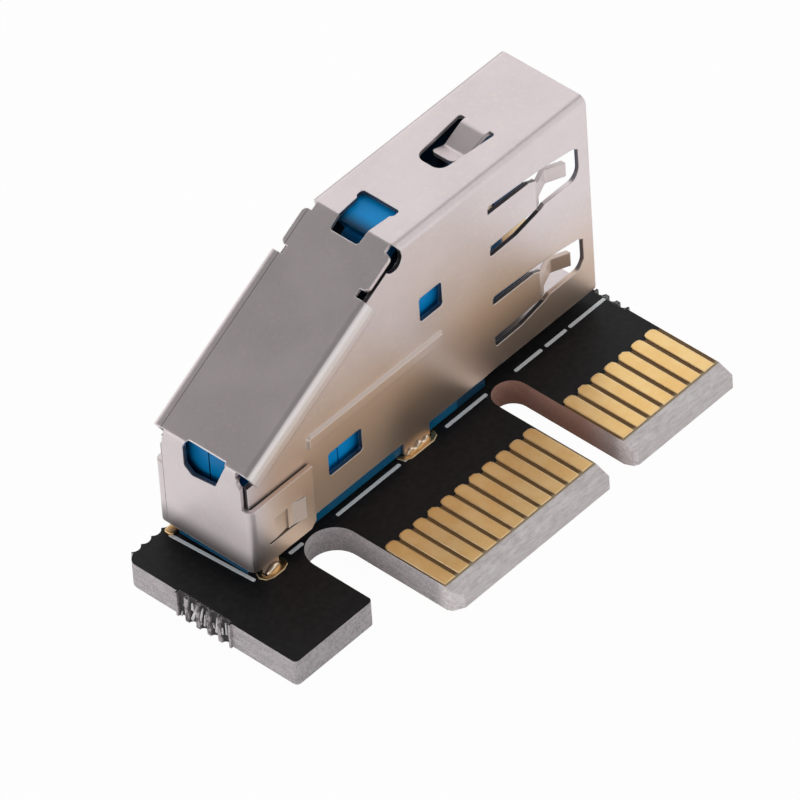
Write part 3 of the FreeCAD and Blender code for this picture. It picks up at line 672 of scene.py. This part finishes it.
# Height that a sliver stays within, its largest lean in radians, and the share of its width at the top
FIBRE_REACH = 1.5
FIBRE_LEAN = 0.5
FIBRE_TAPER = 0.4


def torn_fibres(material):
    """Seeded slivers of glass cloth that lean across the holes of the snapped edges."""
    chance = random.Random(FIBRE_SEED)
    mesh = bmesh.new()
    for snap_x, snap_y, half, outwards in SNAPS:
        count = round(2 * half * FIBRES_PER_MM)
        for n in range(count):
            y = snap_y + half * (2 * (n + chance.random()) / count - 1) * FIBRES_SHARE
            height = chance.uniform(*FIBRE_HEIGHT)
            z = chance.uniform(-0.5, 0.5) * (FIBRE_REACH - height)
            middle = Vector((snap_x - outwards * FIBRE_THICK, y, z))
            lean = Matrix.Rotation(chance.uniform(-FIBRE_LEAN, FIBRE_LEAN), 4, "X")
            size = Matrix.Diagonal((FIBRE_THICK, chance.uniform(*FIBRE_WIDTH), height, 1))
            place = Matrix.Translation(middle) @ lean @ size
            made = bmesh.ops.create_cube(mesh, size=1.0, matrix=place)["verts"]
            top = sorted(made, key=lambda v: v.co.z)[4:]
            to_middle = Matrix.Translation(-middle)
            bmesh.ops.scale(mesh, vec=(1, FIBRE_TAPER, 1), space=to_middle, verts=top)
    piece("torn_fibres", mesh, material)


# Tip corners that are square on the real board: X of the corner and width of the solid's cut
SQUARE_CORNERS = ((8.14, 0.45), (-1.0, 0.2))

# Bevel of the tips: how far it runs along Y, and how much it takes off each face
BEVEL_RUN = 0.85
BEVEL_DROP = 0.35


def square_corners(material):
    """Wedges that carry the bevelled tip out to the board's corners."""
    mesh = bmesh.new()
    for x, cut in SQUARE_CORNERS:
        outline = ((x - cut, 0), (x, 0), (x, cut))
        spots = [mesh.verts.new((*spot, -1)) for spot in outline]
        wedge = bmesh.ops.contextual_create(mesh, geom=spots)["faces"]
        raised = bmesh.ops.extrude_face_region(mesh, geom=wedge)["geom"]
        tops = [v for v in raised if isinstance(v, bmesh.types.BMVert)]
        bmesh.ops.translate(mesh, vec=(0, 0, 2), verts=tops)

    # A wedge runs from -1 to 1 along Z, so this brings its ends to the bevelled faces
    for vert in mesh.verts:
        vert.co.z *= BOARD_TOP - BEVEL_DROP * (1 - vert.co.y / BEVEL_RUN)
    piece("square_tip_corners", mesh, material)


# Fillet of the far rear leg, under the corner of the rear wall
FILLET_MIDDLE = (-17.5, 13.72)
FILLET_SIZE = (0.62, 0.56)
FILLET_THICK = 0.16
FILLET_CORNER = 0.2
FILLET_CROWN = 0.08


def far_leg_fillet(material):
    """Low rounded cushion of plating that shows under the far corner of the rear wall."""
    mesh = bmesh.new()
    place = Matrix.Translation((*FILLET_MIDDLE, BOARD_TOP + FILLET_THICK / 2))
    size = Matrix.Diagonal((*FILLET_SIZE, FILLET_THICK, 1))
    bmesh.ops.create_cube(mesh, size=1.0, matrix=place @ size)
    round_edges(mesh, uprights(mesh), FILLET_CORNER, segments=5)
    top = BOARD_TOP + FILLET_THICK
    rim = [e for e in mesh.edges if all(v.co.z > top - MARGIN for v in e.verts)]
    round_edges(mesh, rim, FILLET_CROWN, segments=4)
    piece("far_leg_fillet", mesh, material)


# Solder at the feet of the near legs: X, Y, half length, and waves along X in radians per millimetre
NEAR_LEGS = ((-5.59, 8.37, 0.88, 10.5), (-16.34, 8.04, 0.47, 3.0))

# Its half width, its height, and how far its middle lies above the board
CLIMB_HALF = 0.15
CLIMB_HIGH = 0.34
CLIMB_RISE = 0.05

# Height of its lumps, as shares of the height: mean, swing and start of the wave
LUMP_MEAN = 0.72
LUMP_SWING = 0.28
LUMP_START = 1.0


def near_leg_fillets(material):
    """Lumpy gilt solder that climbs the near legs from their lands."""
    mesh = bmesh.new()
    for x, y, half, waves in NEAR_LEGS:
        place = Matrix.Translation((x, y, BOARD_TOP + CLIMB_RISE))
        size = Matrix.Diagonal((half, CLIMB_HALF, CLIMB_HIGH, 1))
        lump = bmesh.ops.create_icosphere(mesh, subdivisions=4, radius=1.0, matrix=place @ size)
        for vert in lump["verts"]:
            share = LUMP_MEAN + LUMP_SWING * math.sin(waves * (vert.co.x - x) + LUMP_START)
            vert.co.z = BOARD_TOP + (vert.co.z - BOARD_TOP) * share
    low = [f for f in mesh.faces if f.calc_center_median().z < BOARD_TOP]
    bmesh.ops.delete(mesh, geom=low, context="FACES")
    bmesh.ops.holes_fill(mesh, edges=[e for e in mesh.edges if e.is_boundary], sides=0)
    for face in mesh.faces:
        face.smooth = True
    piece("near_leg_fillets", mesh, material)


def floor_white():
    """Matt white that glows to the eye and in reflections and keeps a soft shadow."""
    material = bpy.data.materials.new("floor_white")
    nodes = Nodes(material)
    matt_inputs = {"Base Color": FLOOR_GREY, "Roughness": 0.9, "Specular IOR Level": 0.0}
    matt = nodes.add("ShaderNodeBsdfPrincipled", matt_inputs)
    glow = nodes.add("ShaderNodeEmission", {"Color": WHITE, "Strength": 1.0})
    direct = nodes.add("ShaderNodeLightPath", output="Is Camera Ray")
    seen = direct + direct.beside("Is Glossy Ray") + direct.beside("Is Transmission Ray")
    share = seen.maths("MINIMUM", 1.0) * FLOOR_GLOW
    shaded = nodes.add("ShaderNodeMixShader", {0: share, 1: matt, 2: glow})
    nodes.add("ShaderNodeOutputMaterial", {0: shaded})
    return material


def studio_floor():
    """Wide pale floor at the part's lowest point."""
    mesh = bmesh.new()
    place = Matrix.Translation((0, 0, LOWEST))
    bmesh.ops.create_grid(mesh, x_segments=1, y_segments=1, size=FLOOR_HALF, matrix=place)
    linked("floor", mesh, floor_white())


def studio_world():
    """White walls that darken towards the ceiling."""
    world = bpy.data.worlds.new("studio")
    bpy.context.scene.world = world
    nodes = Nodes(world)
    view = nodes.add("ShaderNodeTexCoord", output="Generated")
    height = nodes.add("ShaderNodeSeparateXYZ", {0: view}, output="Z")
    grey = nodes.add("ShaderNodeValToRGB", {0: height}, greys=ROOM_GREYS)
    room = nodes.add("ShaderNodeBackground", {"Color": grey})
    nodes.add("ShaderNodeOutputWorld", {0: room})


def looking_at_part(heading, height, distance, roll=0.0):
    """Place of a lamp or camera that looks at the part, with its angles in radians."""
    turn = Matrix.Rotation(heading, 4, "Z") @ Matrix.Rotation(math.pi / 2 - height, 4, "X")
    back = Matrix.Rotation(roll, 4, "Z") @ Matrix.Translation((0, 0, distance * MM))
    return Matrix.Translation(AIM * MM) @ turn @ back


def softbox(name, heading, height, distance, size, watts):
    """Rectangular lamp that looks at the part from a heading and a height in degrees."""
    lamp = bpy.data.lights.new(name, "AREA")
    lamp.shape = "RECTANGLE"
    lamp.size, lamp.size_y = [side * MM for side in size]
    lamp.energy = watts
    made = bpy.data.objects.new(name, lamp)
    made.matrix_world = looking_at_part(math.radians(heading), math.radians(height), distance)
    bpy.context.scene.collection.objects.link(made)


def camera():
    """Camera at the photograph's viewing angle."""
    eye = bpy.data.cameras.new("photo_camera")
    eye.lens = LENS
    eye.sensor_width = SENSOR
    eye.clip_start = NEAREST * MM
    made = bpy.data.objects.new("photo_camera", eye)
    made.matrix_world = looking_at_part(HEADING, HEIGHT, DISTANCE, ROLL)
    bpy.context.scene.collection.objects.link(made)
    bpy.context.scene.camera = made


board = board_mask()
lands = gold_plating("land_gold", LAND_GOLD, rim=0.09)
dress({
    "board": board,
    "gold": gold_plating("contact_gold", CONTACT_GOLD, rim=0.11),
    "shell": shell_steel(),
    "insulator": moulded_blue(),
    "terminals": gold_plating("terminal_gold", TERMINAL_GOLD),
    "lands": lands,
    "solder": tin_solder(),
})
ink_outline(marking_ink())
torn_fibres(glass_cloth())
square_corners(board)
far_leg_fillet(lands)
near_leg_fillets(gold_plating("fillet_gilt", FILLET_GILT))
studio_floor()
studio_world()
for lamp_name, settings in SOFTBOXES.items():
    softbox(lamp_name, *settings)
camera()
bpy.context.scene.view_settings.view_transform = "Standard"
